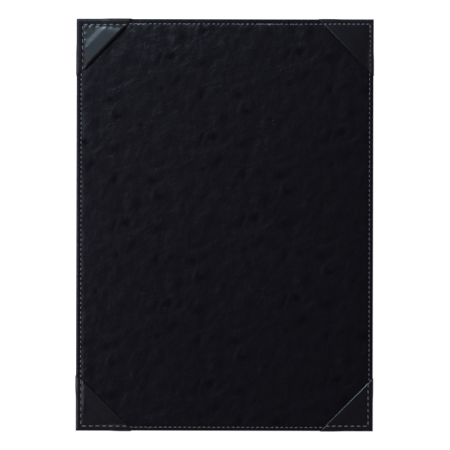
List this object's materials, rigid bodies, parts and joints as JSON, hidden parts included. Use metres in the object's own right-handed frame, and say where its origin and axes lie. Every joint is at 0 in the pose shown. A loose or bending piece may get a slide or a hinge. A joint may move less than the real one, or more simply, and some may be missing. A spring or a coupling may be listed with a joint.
{
  "type": "menu cover",
  "caption": "Stiff single-panel menu cover in black leatherette, with a sewn triangular pocket at each corner to hold one sheet.",
  "frame": {"origin": "on the table under the middle of the panel as it lies on its back", "axes": "+Z out of the front face, +Y towards the head of the menu, +X to the reader's right"},
  "size_m": [0.2258, 0.3128, 0.0069],
  "materials": {
    "board": "matte grey board",
    "padding": "soft open foam",
    "cover_leatherette": "satin, embossed with fine creases",
    "pocket_leatherette": "smooth, slightly glossy",
    "thread": "dark grey twisted thread"
  },
  "bodies": {
    "root": {"core_board": "board", "foam_padding": "padding", "front_cover": "cover_leatherette", "back_cover": "cover_leatherette", "pocket_top_left": "pocket_leatherette", "pocket_top_right": "pocket_leatherette", "pocket_bottom_left": "pocket_leatherette", "pocket_bottom_right": "pocket_leatherette", "panel_seam_needle_thread": "thread", "panel_seam_bobbin_thread": "thread", "pocket_seam_needle_thread": "thread", "pocket_seam_bobbin_thread": "thread"}
  },
  "joints": []
}
